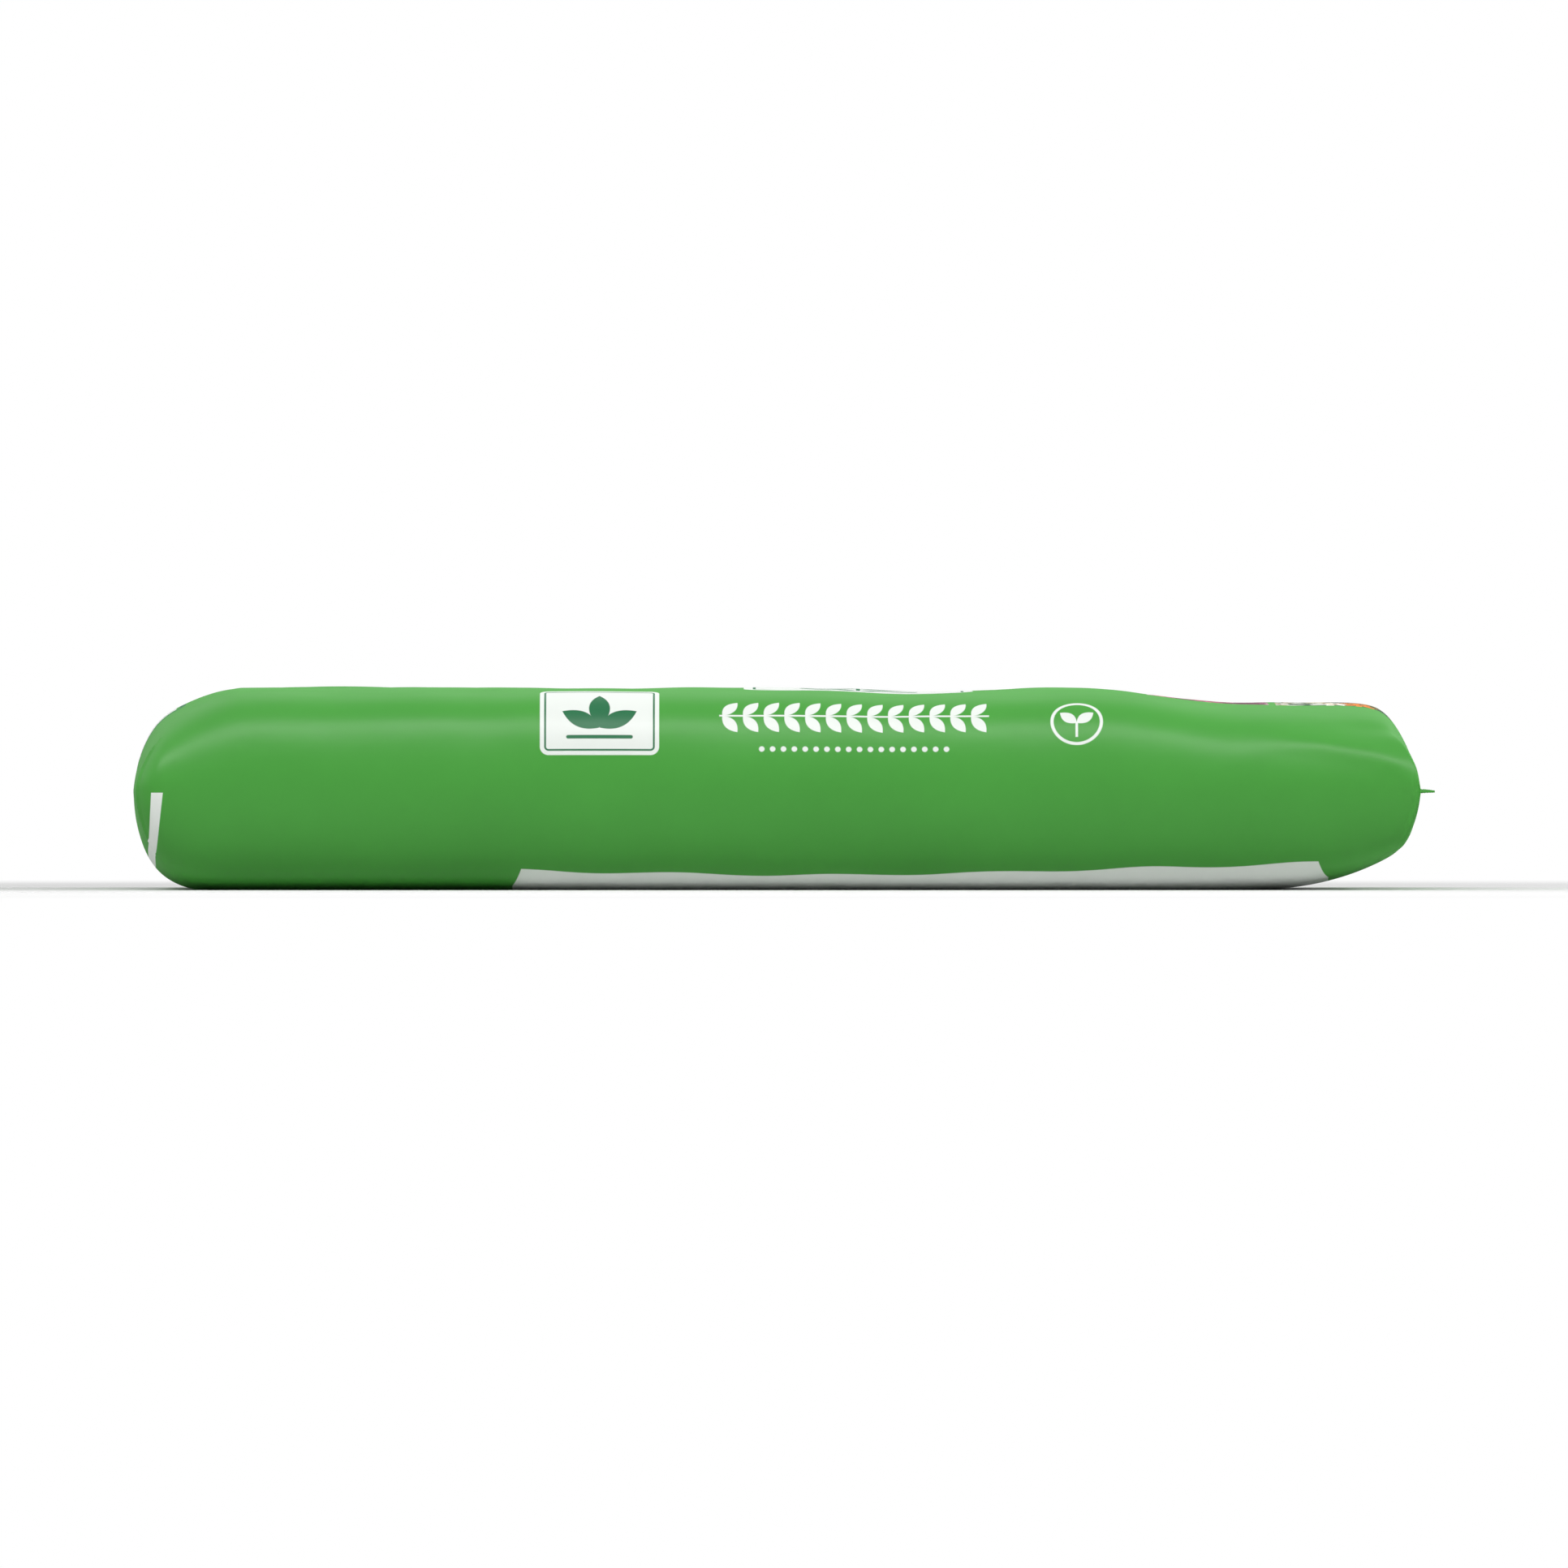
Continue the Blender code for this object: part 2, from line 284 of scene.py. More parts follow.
def waves(points, shortest, longest, seed, count=40):
    """A smooth random field, about 1 high: the sum of cosine waves with random directions,
    phases and lengths between the shortest and the longest."""
    random = np.random.default_rng(seed)
    length = random.uniform(shortest, longest, (count, 1))
    direction = random.normal(size=(count, points.shape[-1]))
    direction /= np.linalg.norm(direction, axis=1, keepdims=True) * length
    phase = random.uniform(0.0, 2 * math.pi, count)
    return np.cos(2 * math.pi * points @ direction.T + phase).sum(axis=-1) / math.sqrt(count / 2)


def swell_at(grid):
    """Height of the uneven filling at each point: a sum of products of two sines, less its top."""
    x, y = grid[..., 0], grid[..., 1]
    total = np.zeros(x.shape)
    for height, long_wave, cross_wave, long_phase, cross_phase in SWELLS:
        wave = np.sin(2 * math.pi * x / long_wave + long_phase)
        total += height * (wave * np.sin(2 * math.pi * y / cross_wave + cross_phase) - 1.0)
    return total


def distance_to_line(across, up, line):
    """Distance of each point from a line through the given points."""
    nearest = np.full(across.shape, np.inf)
    for (y0, z0), (y1, z1) in zip(line[:-1], line[1:]):
        length_squared = (y1 - y0) ** 2 + (z1 - z0) ** 2
        along = ((across - y0) * (y1 - y0) + (up - z0) * (z1 - z0)) / length_squared
        along = np.clip(along, 0.0, 1.0)
        away = np.hypot(across - y0 - along * (y1 - y0), up - z0 - along * (z1 - z0))
        nearest = np.minimum(nearest, away)
    return nearest


def crease_at(grid):
    """Depth of the creases in the upper end panel: a bell-shaped groove along each line."""
    over_weld = grid[..., 2] - WELD_HEIGHT
    on_panel = smooth_step(2.0 - (WELD_X - grid[..., 0]) / WAIST_FROM_WELD)
    total = np.zeros(over_weld.shape)
    for depth, half_width, line in CREASES:
        away = distance_to_line(grid[..., 1], over_weld, line)
        total += depth * np.exp(-((away / half_width) ** 2)) * smooth_step(over_weld / half_width)
    return total * on_panel


def ridge_at(grid):
    """Height of the ridges on the long sides: a bell across each line, fading along the bag."""
    from_weld = WELD_X - grid[..., 0]
    on_side = smooth_step((np.abs(grid[..., 1]) - HALF_WIDTH + SIDE_DEPTH) / SIDE_FADE)
    total = np.zeros(from_weld.shape)
    for height, half_width, line in RIDGES:
        away = distance_to_line(from_weld, grid[..., 2] - WELD_HEIGHT, line)
        total += height * np.exp(-((away / half_width) ** 2))
    return total * on_side * smooth_step(2.0 - from_weld / RIDGE_REACH * 2.0)


def nose_fold_at(grid):
    """Height of the fold at each corner of the nose: a bell across its turn, fading up and down."""
    ahead = NOSE_X + NOSE_CORNER - grid[..., 0]
    beside = np.abs(grid[..., 1]) - (HALF_WIDTH - NOSE_CORNER)
    turn = np.arctan2(np.maximum(beside, 0.0), np.maximum(ahead, 1e-6))
    bell = np.exp(-(((turn - NOSE_FOLD_TURN) / NOSE_FOLD_HALF_TURN) ** 2))
    up = (grid[..., 2] - WELD_HEIGHT + NOSE_FOLD_UNDER_WELD) / NOSE_FOLD_HALF_LENGTH
    return NOSE_FOLD_HEIGHT * bell * np.exp(-(up**6)) * (ahead > 0) * (beside > 0)


def normals_of(grid, direction):
    """Unit normals of a grid of points, from the cross product of its two gradients."""
    normals = np.cross(np.gradient(grid, axis=0), np.gradient(grid, axis=1)) * direction
    return normals / np.maximum(np.linalg.norm(normals, axis=2, keepdims=True), 1e-12)


def drawn_over(grid, along, direction):
    """A film with everything that lifts or dents it, along its normals, the lip's own waves, and
    the ear on the near side, which stands out a little further."""
    from_weld = np.abs(along - np.interp(WELD_X, film_rows(), along))[:, None]
    over_weld = np.abs(grid[..., 2] - WELD_HEIGHT)
    on_bag = smooth_step((WELD_X - grid[..., 0]) / WELD_FADE)
    off_ground = smooth_step(grid[..., 2] / GROUND_FADE)
    out = LUMP_HEIGHT * waves(grid, *LUMP_SIZES, seed=3)
    out *= smooth_step(from_weld / LUMPS_FROM_WELD)
    gathers = GATHER_HEIGHT * waves(grid[..., 1:2], *GATHER_SIZES, seed=5)
    out += gathers * np.exp(-from_weld / GATHER_REACH)
    out += nose_fold_at(grid) + ridge_at(grid)
    if direction > 0:
        out += swell_at(grid) * smooth_step(over_weld / (FILLED_HEIGHT - WELD_HEIGHT) * 1.5)
        out -= crease_at(grid)
    moved = grid + normals_of(grid, direction) * (out * on_bag * off_ground)[..., None]
    lip = LIP_WAVE * waves(grid[..., 1:2], *LIP_WAVE_SIZES, seed=8, count=12)
    lip *= np.exp(-from_weld / LIP_WAVE_REACH)
    past_weld = grid[..., 0] - WELD_X
    on_lip = np.clip(past_weld / RIB_FADE, 0.0, 1.0)
    rib = RIB_HEIGHT * direction * np.sin(2 * math.pi * past_weld / RIB_PITCH) * on_lip
    moved[..., 2] += (lip + rib) * off_ground
    moved[..., 2] = np.maximum(moved[..., 2], 0.0)
    by_ear = smooth_step((-grid[..., 1] / HALF_WIDTH - EAR_START) / EAR_FADE)
    moved[..., 1] -= EAR_OUT * by_ear * np.exp(-((from_weld / EAR_REACH) ** 2))
    return moved


upper, upper_along, upper_across = film_grid(upper_rise, WELD_HEIGHT + HALF_WELD, 1.0)
lower, lower_along, lower_across = film_grid(lower_depth, WELD_HEIGHT - HALF_WELD, -1.0)
# Half the girth of the body, which is also half the width of the flat tube.
body_row = len(upper_along) // 2
HALF_GIRTH = np.hypot(*np.diff(upper[body_row, :, 1:], axis=0).T).sum() / 2
upper = drawn_over(upper, upper_along, 1.0)
lower = drawn_over(lower, lower_along, -1.0)

# The two films' grids become one closed mesh, joined by a narrow strip round their edges.
rows, columns = upper.shape[:2]
index = np.arange(rows * columns).reshape(rows, columns)
corners = np.stack([index[:-1, :-1], index[1:, :-1], index[1:, 1:], index[:-1, 1:]], axis=-1)
corners = corners.reshape(-1, 4)
loop = np.concatenate([index[0, :], index[1:, -1], index[-1, -2::-1], index[-2:0:-1, 0]])
ahead = np.roll(loop, -1)
strip = np.stack([loop, ahead, ahead + index.size, loop + index.size], axis=-1)
faces = np.concatenate([corners, corners[:, ::-1] + index.size, strip])

bag_mesh = bpy.data.meshes.new("compost_bag")
points = np.concatenate([upper.reshape(-1, 3), lower.reshape(-1, 3)])
bag_mesh.from_pydata(points, [], faces.tolist())
# The film's own coordinates, in metres of flat film: the upper film round 0, the lower round 1.
upper_film = np.broadcast_arrays(upper_along[:, None], upper_across * HALF_GIRTH)
upper_film = np.stack(upper_film, axis=-1)
lower_film = np.broadcast_arrays(lower_along[:, None], lower_across * HALF_GIRTH + 1.0)
lower_film = np.stack(lower_film, axis=-1)
film_at = np.concatenate([upper_film.reshape(-1, 2), lower_film.reshape(-1, 2)])
film_of_corner = faces.copy()
film_of_corner[-len(strip):, 2:] -= index.size
film_map = bag_mesh.uv_layers.new(name="film")
film_map.data.foreach_set("uv", film_at[film_of_corner.ravel()].astype(np.float32).ravel())
bag_mesh.shade_smooth()
bag_mesh.set_sharp_from_angle(angle=math.radians(55))
bag = bpy.data.objects.new("compost_bag", bag_mesh)
bpy.context.scene.collection.objects.link(bag)
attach(bag, "root")
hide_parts("filled_bag")

# The film's material: green polythene with a soft gloss, printed in white, dark green and a few
# bright colours. Every printed field is a plain shape, placed in metres of flat film.
FILM_GREEN = (0.061, 0.328, 0.043, 1.0)
DARK_GREEN = (0.012, 0.140, 0.052, 1.0)
WHITE = (0.78, 0.82, 0.78, 1.0)
FILM_ROUGHNESS = 0.36
FILM_SPECULAR = 0.26
PRINT_SOFTNESS = 0.0005

film = bpy.data.materials.new("printed_film")
film.use_nodes = True
tree = film.node_tree
shader = tree.nodes["Principled BSDF"]
shader.inputs["Specular IOR Level"].default_value = FILM_SPECULAR
bag_mesh.materials.append(film)


def maths(tree, operation, *values, clamp=False):
    """A Math node, each of whose values is a number or a socket."""
    made = tree.nodes.new("ShaderNodeMath")
    made.operation = operation
    made.use_clamp = clamp
    for socket, value in zip(made.inputs, values):
        if isinstance(value, bpy.types.NodeSocket):
            tree.links.new(value, socket)
        else:
            socket.default_value = value
    return made.outputs[0]


def new_group(name, takes, gives):
    """An empty node group whose sockets are all numbers: the group, its inputs and its outputs."""
    group = bpy.data.node_groups.new(name, "ShaderNodeTree")
    for socket in takes:
        group.interface.new_socket(socket, in_out="INPUT", socket_type="NodeSocketFloat")
    for socket in gives:
        group.interface.new_socket(socket, in_out="OUTPUT", socket_type="NodeSocketFloat")
    inputs = group.nodes.new("NodeGroupInput").outputs
    return group, inputs, group.nodes.new("NodeGroupOutput").inputs


def use_group(tree, group, *values):
    """Places a node group, with a number or a socket for each input. Gives its first output."""
    made = tree.nodes.new("ShaderNodeGroup")
    made.node_tree = group
    for socket, value in zip(made.inputs, values):
        if isinstance(value, bpy.types.NodeSocket):
            tree.links.new(value, socket)
        else:
            socket.default_value = value
    return made.outputs[0]


def make_block_group():
    """Distance from the outline of a rounded block, below 0 inside: the usual distance to a
    rounded rectangle about the origin."""
    wanted = ("X", "Y", "Half X", "Half Y", "Corner")
    group, takes, gives = new_group("printed_block", wanted, ("Distance",))
    past = []
    for place, half in (("X", "Half X"), ("Y", "Half Y")):
        inner = maths(group, "SUBTRACT", takes[half], takes["Corner"])
        past.append(maths(group, "SUBTRACT", maths(group, "ABSOLUTE", takes[place]), inner))
    out = [maths(group, "MAXIMUM", p, 0.0) for p in past]
    squares = maths(group, "ADD", *(maths(group, "POWER", part, 2.0) for part in out))
    inside = maths(group, "MINIMUM", maths(group, "MAXIMUM", *past), 0.0)
    distance = maths(group, "ADD", maths(group, "SQRT", squares), inside)
    group.links.new(maths(group, "SUBTRACT", distance, takes["Corner"]), gives["Distance"])
    return group


def make_leaf_group():
    """Distance from the outline of a pointed leaf, below 0 inside: |across| less a parabola.
    The leaf starts at the origin, and is turned by Turn."""
    wanted = ("X", "Y", "Turn", "Length", "Width")
    group, takes, gives = new_group("printed_leaf", wanted, ("Distance",))
    cosine = maths(group, "COSINE", takes["Turn"])
    sine = maths(group, "SINE", takes["Turn"])
    x_part = maths(group, "MULTIPLY", takes["X"], cosine)
    run = maths(group, "MULTIPLY_ADD", takes["Y"], sine, x_part)
    y_part = maths(group, "MULTIPLY", takes["Y"], cosine)
    side = maths(group, "SUBTRACT", y_part, maths(group, "MULTIPLY", takes["X"], sine))
    share = maths(group, "DIVIDE", run, takes["Length"])
    bulge = maths(group, "MULTIPLY", share, maths(group, "SUBTRACT", 1.0, share))
    half = maths(group, "MULTIPLY", bulge, maths(group, "MULTIPLY", takes["Width"], 2.0))
    away = maths(group, "SUBTRACT", maths(group, "ABSOLUTE", side), half)
    group.links.new(away, gives["Distance"])
    return group


def make_flower_group():
    """Distance from the outline of a flower about the origin, below 0 inside: the radius less
    Radius * (0.68 + 0.32 * cos(petals * angle + turn))."""
    wanted = ("X", "Y", "Radius", "Petals", "Turn")
    group, takes, gives = new_group("printed_flower", wanted, ("Distance",))
    squares = maths(group, "ADD", maths(group, "POWER", maths(group, "ABSOLUTE", takes["X"]), 2.0),
                    maths(group, "POWER", maths(group, "ABSOLUTE", takes["Y"]), 2.0))
    angle = maths(group, "ARCTAN2", takes["Y"], takes["X"])
    turned = maths(group, "MULTIPLY_ADD", angle, takes["Petals"], takes["Turn"])
    share = maths(group, "MULTIPLY_ADD", maths(group, "COSINE", turned), 0.32, 0.68)
    edge = maths(group, "MULTIPLY", share, takes["Radius"])
    away = maths(group, "SUBTRACT", maths(group, "SQRT", squares), edge)
    group.links.new(away, gives["Distance"])
    return group


block_group = make_block_group()
leaf_group = make_leaf_group()
flower_group = make_flower_group()


def inside(distance):
    """1 inside an outline and 0 outside, soft over the print's own edge."""
    return maths(tree, "MULTIPLY_ADD", distance, -1.0 / PRINT_SOFTNESS, 0.5, clamp=True)


def block(x, y, centre, half, corner=0.0):
    """Distance from a rounded block with its centre at a place on the film."""
    from_x = maths(tree, "SUBTRACT", x, centre[0])
    from_y = maths(tree, "SUBTRACT", y, centre[1])
    return use_group(tree, block_group, from_x, from_y, half[0], half[1], corner)


def leaf(x, y, base, turn, length, width):
    """Distance from a leaf that grows from its base at an angle."""
    from_x = maths(tree, "SUBTRACT", x, base[0])
    from_y = maths(tree, "SUBTRACT", y, base[1])
    return use_group(tree, leaf_group, from_x, from_y, turn, length, width)


def either(*distances):
    """Distance from the nearest of several outlines."""
    nearest = distances[0]
    for other in distances[1:]:
        nearest = maths(tree, "MINIMUM", nearest, other)
    return nearest


def both(*masks):
    """The overlap of masks: their product."""
    product = masks[0]
    for other in masks[1:]:
        product = maths(tree, "MULTIPLY", product, other)
    return product


def keyline(distance, inset, width):
    """A line that runs inside an outline: the distance from its own middle line."""
    from_middle = maths(tree, "ABSOLUTE", maths(tree, "ADD", distance, inset))
    return maths(tree, "SUBTRACT", from_middle, width / 2)


def blend(under, over, mask):
    """One colour over another where the mask is 1. Each is a colour or a socket."""
    made = tree.nodes.new("ShaderNodeMix")
    made.data_type = "RGBA"
    tree.links.new(mask, made.inputs[0])
    for socket, value in ((made.inputs[6], under), (made.inputs[7], over)):
        if isinstance(value, bpy.types.NodeSocket):
            tree.links.new(value, socket)
        else:
            socket.default_value = value
    return made.outputs[2]


film_uv = tree.nodes.new("ShaderNodeUVMap")
film_uv.uv_map = "film"
film_place = tree.nodes.new("ShaderNodeSeparateXYZ")
tree.links.new(film_uv.outputs[0], film_place.inputs[0])
along, across = film_place.outputs[0], film_place.outputs[1]
on_lower = maths(tree, "GREATER_THAN", across, 0.5)
on_upper = maths(tree, "SUBTRACT", 1.0, on_lower)
across_lower = maths(tree, "SUBTRACT", across, 1.0)

# The long sides carry a row of fields, which reads from the nose on the side that the camera
# sees and turns with the bag on the other: a white label, a branch of leaves over a row of
# beads, and a ring with a seedling. Heights are measured up from the bag's widest line.
LABEL = ((-0.1052, 0.0465), (0.0340, 0.0262))
LABEL_CORNER = 0.005
LABEL_LINE = (0.0030, 0.0011)
BRANCH_START, BRANCH_END, BRANCH_HEIGHT = -0.0369, 0.1169, 0.0455
BRANCH_HALF_WIDTH = 0.0125
BRANCH_LEAVES = 13
BEADS_START, BEADS_END, BEADS_HEIGHT = -0.0158, 0.0958, 0.0240
BEAD_RADIUS = 0.0016
BEADS = 18
RING = (0.1670, 0.0415)
RING_RADIUS = 0.0150
RING_WIDTH = 0.0018

facing = maths(tree, "MULTIPLY", maths(tree, "SIGN", across), -1.0)
reads = maths(tree, "MULTIPLY", along, facing)
up = maths(tree, "SUBTRACT", HALF_GIRTH, maths(tree, "ABSOLUTE", across))

label = block(reads, up, *LABEL, corner=LABEL_CORNER)
label_line = keyline(label, *LABEL_LINE)
sprig_base = (LABEL[0][0], LABEL[0][1] - 0.010)
sprig = either(
    leaf(reads, up, sprig_base, math.radians(90), 0.026, 0.0120),
    leaf(reads, up, sprig_base, math.radians(28), 0.024, 0.0105),
    leaf(reads, up, sprig_base, math.radians(152), 0.024, 0.0105),
    block(reads, up, (LABEL[0][0], LABEL[0][1] - 0.0155), (0.019, 0.0011), 0.0011),
)


def repeated(place, start, pitch):
    """The place within each of a row of equal steps, from the middle of the step."""
    steps = maths(tree, "DIVIDE", maths(tree, "SUBTRACT", place, start), pitch)
    part = maths(tree, "SUBTRACT", maths(tree, "FRACT", steps), 0.5)
    return maths(tree, "MULTIPLY", part, pitch)


LEAF_PITCH = (BRANCH_END - BRANCH_START) / BRANCH_LEAVES
in_step = repeated(reads, BRANCH_START, LEAF_PITCH)
from_stem = maths(tree, "ABSOLUTE", maths(tree, "SUBTRACT", up, BRANCH_HEIGHT))
branch_leaf = leaf(in_step, from_stem, (-0.0042, 0.0), math.radians(52), 0.0140, 0.0066)
branch_middle = ((BRANCH_START + BRANCH_END) / 2, BRANCH_HEIGHT)
branch_half = (BRANCH_END - BRANCH_START) / 2
branch_stem = block(reads, up, branch_middle, (branch_half, 0.0006))
in_branch = inside(block(reads, up, branch_middle, (branch_half, BRANCH_HALF_WIDTH)))
branch = maths(tree, "MAXIMUM", both(inside(branch_leaf), in_branch), inside(branch_stem))

BEAD_PITCH = (BEADS_END - BEADS_START) / BEADS
bead_x = repeated(reads, BEADS_START, BEAD_PITCH)
bead_y = maths(tree, "SUBTRACT", up, BEADS_HEIGHT)
bead = use_group(tree, block_group, bead_x, bead_y, BEAD_RADIUS, BEAD_RADIUS, BEAD_RADIUS)
beads_middle = ((BEADS_START + BEADS_END) / 2, BEADS_HEIGHT)
in_beads = inside(block(reads, up, beads_middle, ((BEADS_END - BEADS_START) / 2, 0.004)))
beads = both(inside(bead), in_beads)

ring = block(reads, up, RING, (RING_RADIUS, RING_RADIUS), RING_RADIUS)
ring = keyline(ring, RING_WIDTH / 2, RING_WIDTH)
seedling_top = (RING[0], RING[1] - 0.001)
seedling = either(
    leaf(reads, up, seedling_top, math.radians(38), 0.0120, 0.0066),
    leaf(reads, up, seedling_top, math.radians(142), 0.0120, 0.0066),
    block(reads, up, (RING[0], RING[1] - 0.0050), (0.0007, 0.0050)),
)
side_white = either(label, ring, seedling)
side_fields = maths(tree, "MAXIMUM", inside(side_white), maths(tree, "MAXIMUM", branch, beads))

# The front, which lies on top, has a white title block with a branch across it, and behind the
# weld four pictures: flowers on one half and leaves on the other.
TITLE = ((0.0425, 0.0), (0.0655, 0.153))
TITLE_CORNER = 0.008
TITLE_LINE = (0.0060, 0.0016)
TITLE_BRANCH_HALF = 0.123
TITLE_LEAF_PITCH = 0.041
PICTURES_MIDDLE = (0.3165, 0.0790)
PICTURES_HALF = (0.0350, 0.0740)
PICTURES_STEP = 0.0740

title = block(along, across, *TITLE, corner=TITLE_CORNER)
title_line = keyline(title, *TITLE_LINE)
title_leaf_x = maths(tree, "ABSOLUTE", maths(tree, "SUBTRACT", along, TITLE[0][0]))
title_leaf_y = repeated(across, -TITLE_BRANCH_HALF, TITLE_LEAF_PITCH)
title_leaf = leaf(title_leaf_y, title_leaf_x, (-0.012, 0.0), math.radians(48), 0.046, 0.022)
in_title = inside(block(along, across, TITLE[0], (0.045, TITLE_BRANCH_HALF)))
title_stem = inside(block(along, across, TITLE[0], (0.0012, TITLE_BRANCH_HALF)))
title_branch = maths(tree, "MAXIMUM", both(inside(title_leaf), in_title), title_stem)

# The nose has two white panels on its upper half, each with a dark green line round it, and the
# lower film a white strip across, which swings back towards the sides.
from_nose = maths(tree, "SUBTRACT", along, float(upper_along[0]))
NOSE_PANELS = (
    ((0.0373, 0.1530), (0.0187, 0.0190)),
    ((0.0373, -0.1030), (0.0187, 0.0470)),
)
NOSE_PANEL_CORNER = 0.0015
NOSE_LINE = (-0.0043, 0.0036)
place = tree.nodes.new("ShaderNodeTexCoord")
on_bag = tree.nodes.new("ShaderNodeSeparateXYZ")
tree.links.new(place.outputs["Object"], on_bag.inputs[0])
y = on_bag.outputs[1]
nose_panel = either(
    *(block(from_nose, y, *panel_at, corner=NOSE_PANEL_CORNER) for panel_at in NOSE_PANELS)
)
nose_line = keyline(nose_panel, *NOSE_LINE)

STRIP_START, STRIP_END = 0.038, 0.0455
STRIP_START_SWING, STRIP_END_SWING = 0.004, 0.0065
STRIP_SWING_REACH = 0.045
from_lower_nose = maths(tree, "SUBTRACT", along, float(lower_along[0]))
from_side = maths(tree, "SUBTRACT", HALF_GIRTH, maths(tree, "ABSOLUTE", across_lower))
swing = maths(tree, "MULTIPLY_ADD", from_side, -1.0 / STRIP_SWING_REACH, 1.0, clamp=True)
strip_start = maths(tree, "MULTIPLY_ADD", swing, STRIP_START_SWING, STRIP_START)
strip_end = maths(tree, "MULTIPLY_ADD", swing, STRIP_END_SWING, STRIP_END)
strip_mask = both(
    inside(maths(tree, "SUBTRACT", strip_start, from_lower_nose)),
    inside(maths(tree, "SUBTRACT", from_lower_nose, strip_end)),
    on_lower,
)

# The back, which lies underneath, has one white block that laps a little way up the sides. Its
# edge wanders, because the film is not drawn quite evenly round the compost.
BACK_START, BACK_END = -0.155, 0.311
BACK_HALF = 0.1970
# Each wander is a height, a length along the bag, and where it is lowest.
BACK_WANDERS = ((0.0036, 0.600, 0.010), (0.0009, 0.090, 0.073))
# How much the block's ends splay, and how far out from its middle they begin to.
BACK_SPLAY = 0.28
BACK_SPLAY_FROM = 0.180
wandered = maths(tree, "ABSOLUTE", across_lower)
for height, length, lowest in BACK_WANDERS:
    phase = maths(tree, "MULTIPLY", maths(tree, "SUBTRACT", along, lowest), 2 * math.pi / length)
    wandered = maths(tree, "MULTIPLY_ADD", maths(tree, "COSINE", phase), height, wandered)
past_splay = maths(tree, "SUBTRACT", maths(tree, "ABSOLUTE", across_lower), BACK_SPLAY_FROM)
past_splay = maths(tree, "MAXIMUM", past_splay, 0.0)
back_middle = (BACK_START + BACK_END) / 2
from_back_middle = maths(tree, "ABSOLUTE", maths(tree, "SUBTRACT", along, back_middle))
splayed = maths(tree, "MULTIPLY_ADD", past_splay, BACK_SPLAY, from_back_middle)
back = block(splayed, wandered, (0.0, 0.0), ((BACK_END - BACK_START) / 2, BACK_HALF))

# The pictures: scattered flowers, each about the middle of its own random cell, and scattered
# leaves at random turns. The row by the weld is warm and cool, the other rose and red.
FLOWER_SPACING = 0.027
FLOWER_LEAST, FLOWER_SPREAD = 0.0105, 0.005
PETALS = 7.0
EYE_RADIUS = 0.003
EYE_COLOUR = (0.45, 0.20, 0.02, 1.0)
WARM_PETALS = ((0.85, 0.22, 0.02, 1.0), (0.88, 0.62, 0.05, 1.0), (0.88, 0.87, 0.80, 1.0))
ROSE_PETALS = ((0.62, 0.12, 0.30, 1.0), (0.78, 0.36, 0.50, 1.0), (0.80, 0.62, 0.66, 1.0))
WARM_GROUND = (0.006, 0.050, 0.012, 1.0)
ROSE_GROUND = (0.10, 0.022, 0.045, 1.0)
LEAF_SPACING = 0.021
LEAF_LENGTH, LEAF_WIDTH = 0.026, 0.012
COOL_LEAVES = ((0.02, 0.20, 0.14, 1.0), (0.14, 0.46, 0.34, 1.0), (0.42, 0.40, 0.45, 1.0))
RED_LEAVES = ((0.36, 0.020, 0.022, 1.0), (0.22, 0.012, 0.02, 1.0), (0.50, 0.10, 0.10, 1.0))
COOL_GROUND = (0.004, 0.055, 0.042, 1.0)
RED_GROUND = (0.085, 0.006, 0.010, 1.0)


def scattered(spacing):
    """Random places about a spacing apart: the film's coordinates from the nearest one, and two
    random numbers that belong to it."""
    cells = tree.nodes.new("ShaderNodeTexVoronoi")
    cells.voronoi_dimensions = "2D"
    cells.inputs["Scale"].default_value = 1.0 / spacing
    cells.inputs["Randomness"].default_value = 0.75
    tree.links.new(film_uv.outputs[0], cells.inputs["Vector"])
    local = tree.nodes.new("ShaderNodeVectorMath")
    local.operation = "SUBTRACT"
    tree.links.new(film_uv.outputs[0], local.inputs[0])
    tree.links.new(cells.outputs["Position"], local.inputs[1])
    place = tree.nodes.new("ShaderNodeSeparateXYZ")
    tree.links.new(local.outputs[0], place.inputs[0])
    chance = tree.nodes.new("ShaderNodeSeparateColor")
    tree.links.new(cells.outputs["Color"], chance.inputs[0])
    return place.outputs[0], place.outputs[1], chance.outputs[0], chance.outputs[1]


def ramp(value, colours):
    """Picks one of several colours by a number from 0 to 1, in even steps."""
    made = tree.nodes.new("ShaderNodeValToRGB")
    made.color_ramp.interpolation = "CONSTANT"
    elements = made.color_ramp.elements
    while len(elements) < len(colours):
        elements.new(1.0)
    for number, colour in enumerate(colours):
        elements[number].position = number / len(colours)
        elements[number].color = colour
    tree.links.new(value, made.inputs[0])
    return made.outputs[0]


flower_x, flower_y, flower_size, flower_turn = scattered(FLOWER_SPACING)
radius = maths(tree, "MULTIPLY_ADD", flower_size, FLOWER_SPREAD, FLOWER_LEAST)
turn = maths(tree, "MULTIPLY", flower_turn, 2 * math.pi)
petals = inside(use_group(tree, flower_group, flower_x, flower_y, radius, PETALS, turn))
eye = use_group(tree, block_group, flower_x, flower_y, EYE_RADIUS, EYE_RADIUS, EYE_RADIUS)
eye = inside(eye)
leaf_x, leaf_y, leaf_shade, leaf_turn = scattered(LEAF_SPACING)
turn = maths(tree, "MULTIPLY", leaf_turn, 2 * math.pi)
leaf_step_x = maths(tree, "MULTIPLY_ADD", maths(tree, "COSINE", turn), LEAF_LENGTH / 2, leaf_x)
